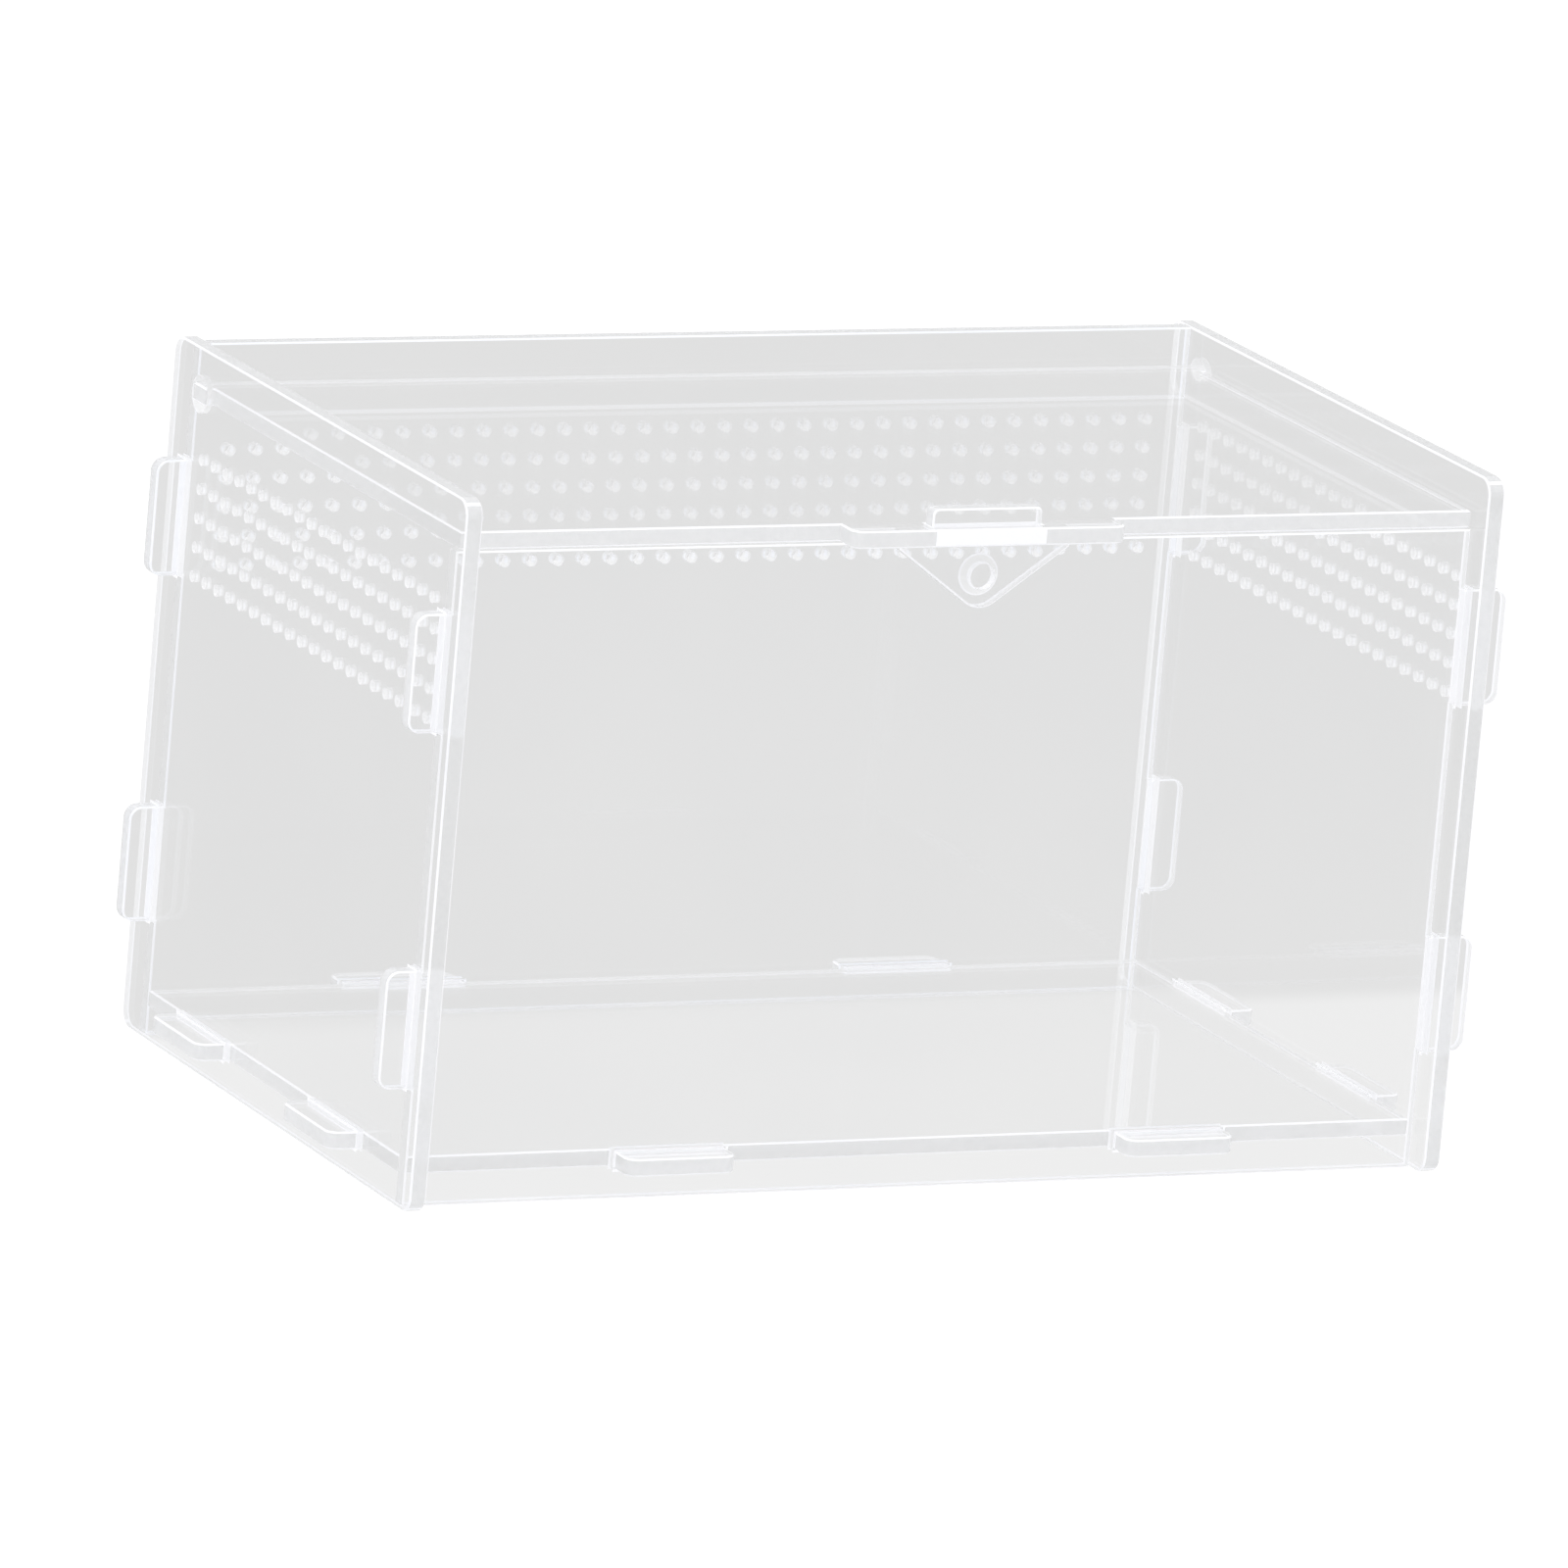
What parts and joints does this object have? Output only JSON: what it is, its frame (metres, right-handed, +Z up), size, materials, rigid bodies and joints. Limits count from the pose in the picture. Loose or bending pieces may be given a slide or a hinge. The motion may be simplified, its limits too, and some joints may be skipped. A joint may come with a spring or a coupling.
{
  "type": "reptile breeding box",
  "caption": "Clear slotted-sheet breeding box with a raised floor, rows of ventilation holes in the sides and back, and a hinged lid with a small triangular pull plate.",
  "frame": {"origin": "under the middle of the box, in the plane of the wall panels' bottom edges", "axes": "+X along the box to the right, +Y from the front to the back, +Z up"},
  "size_m": [0.2, 0.1205, 0.12],
  "materials": {
    "clear_sheet": "clear acrylic sheet, gloss faces and frosted cut edges"
  },
  "bodies": {
    "box": {"floor": "clear_sheet", "front_panel": "clear_sheet", "back_panel": "clear_sheet", "left_panel": "clear_sheet", "right_panel": "clear_sheet"},
    "lid_body": {"lid": "clear_sheet", "pull_plate": "clear_sheet"}
  },
  "joints": [
    {"name": "lid_hinge", "type": "hinge", "parent": "box", "child": "lid_body", "pos_m": [0, 0.0484, 0.1122], "axis": [-1, 0, 0], "range_deg": [0, 102]}
  ]
}
